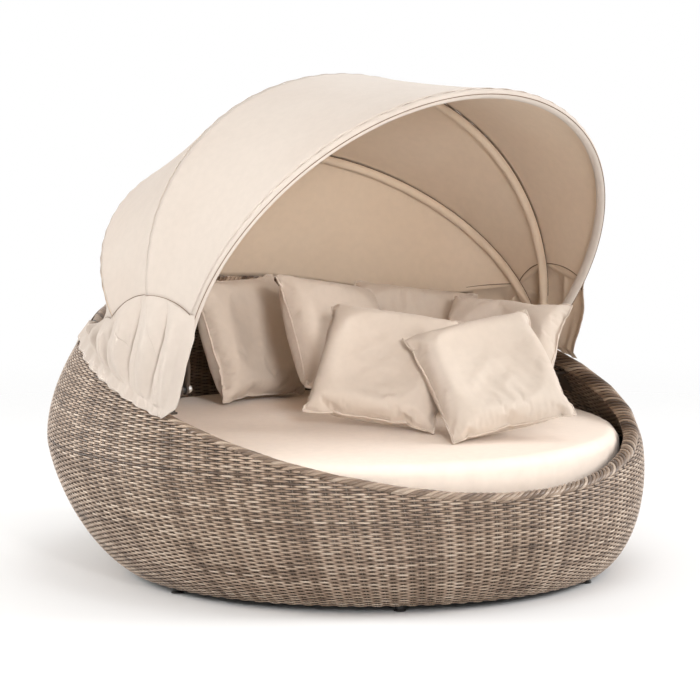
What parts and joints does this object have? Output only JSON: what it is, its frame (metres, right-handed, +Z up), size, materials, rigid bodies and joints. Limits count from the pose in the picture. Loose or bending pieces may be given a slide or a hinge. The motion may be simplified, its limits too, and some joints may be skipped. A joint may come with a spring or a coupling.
{
  "type": "outdoor daybed with canopy",
  "caption": "Round egg-shaped woven daybed with a low front rim, a thick seat pad, loose cushions and a fabric canopy on tubular bows that fold back",
  "frame": {"origin": "on the floor under the middle of the overall box", "axes": "+Z up, -Y is the open front, +X is the sitter's left when seated facing the front, and the right side seen from the front"},
  "size_m": [1.8984, 1.9256, 1.5622],
  "materials": {
    "woven_rattan": "flat woven synthetic rattan in mixed grey-brown, tan and beige strands",
    "dark_rattan": "the same weave in shade, darker brown",
    "frame_coat": "brown powder-coated tube, satin",
    "steel": "brushed stainless fasteners",
    "glide": "black moulded plastic",
    "canopy_cloth": "cream woven polyester canvas",
    "seat_cloth": "beige outdoor canvas, matt",
    "scatter_cloth": "pinkish beige outdoor canvas with piped edges"
  },
  "bodies": {
    "root": {"outer_weave": "woven_rattan", "inner_weave": "dark_rattan", "rim_braid": "woven_rattan", "base_ring": "frame_coat", "seat_ring": "frame_coat", "rim_ring": "frame_coat", "rib_1": "frame_coat", "rib_2": "frame_coat", "rib_3": "frame_coat", "rib_4": "frame_coat", "rib_5": "frame_coat", "rib_6": "frame_coat", "rib_7": "frame_coat", "rib_8": "frame_coat", "seat_deck": "dark_rattan", "deck_bar_1": "frame_coat", "deck_bar_2": "frame_coat", "deck_bar_3": "frame_coat", "foot_1": "glide", "foot_2": "glide", "foot_3": "glide", "foot_4": "glide", "foot_5": "glide", "foot_6": "glide", "pivot_bracket_right": "frame_coat", "pivot_bracket_left": "frame_coat", "pivot_bolt_right": "steel", "pivot_bolt_left": "steel", "pivot_nut_right": "steel", "pivot_nut_left": "steel", "outer_washer_right": "steel", "outer_washer_left": "steel", "inner_washer_right": "steel", "inner_washer_left": "steel", "outer_bush_right": "glide", "outer_bush_left": "glide", "inner_bush_right": "glide", "inner_bush_left": "glide", "rear_valance": "canopy_cloth", "seat_cushion": "seat_cloth", "scatter_cushion_1": "scatter_cloth", "scatter_cushion_2": "scatter_cloth", "scatter_cushion_3": "scatter_cloth", "scatter_cushion_4": "scatter_cloth", "scatter_cushion_5": "scatter_cloth", "scatter_cushion_6": "scatter_cloth"},
    "front_canopy": {"front_bow": "frame_coat", "front_sleeve": "canopy_cloth", "front_panel": "canopy_cloth", "right_skirt": "canopy_cloth", "left_skirt": "canopy_cloth", "right_snap": "steel", "left_snap": "steel"},
    "second_canopy": {"second_bow": "frame_coat", "second_sleeve": "canopy_cloth", "middle_panel": "canopy_cloth"},
    "third_canopy": {"third_bow": "frame_coat", "third_sleeve": "canopy_cloth", "rear_panel": "canopy_cloth"}
  },
  "joints": [
    {"name": "third_bow_swing", "type": "hinge", "parent": "root", "child": "third_canopy", "pos_m": [0, -0.091, 0.625], "axis": [-1, 0, 0], "range_deg": [0, 24], "deforming": ["rear_panel"]},
    {"name": "second_bow_swing", "type": "hinge", "parent": "third_canopy", "child": "second_canopy", "pos_m": [0, -0.091, 0.625], "axis": [-1, 0, 0], "range_deg": [0, 27.7], "deforming": ["middle_panel"]},
    {"name": "front_bow_swing", "type": "hinge", "parent": "second_canopy", "child": "front_canopy", "pos_m": [0, -0.091, 0.625], "axis": [-1, 0, 0], "range_deg": [0, 34.8], "deforming": ["front_panel", "right_skirt", "left_skirt"]}
  ],
  "couplings": [
    {"joint": "second_bow_swing", "follows": "third_bow_swing", "ratio": 1.154},
    {"joint": "front_bow_swing", "follows": "third_bow_swing", "ratio": 1.45}
  ]
}
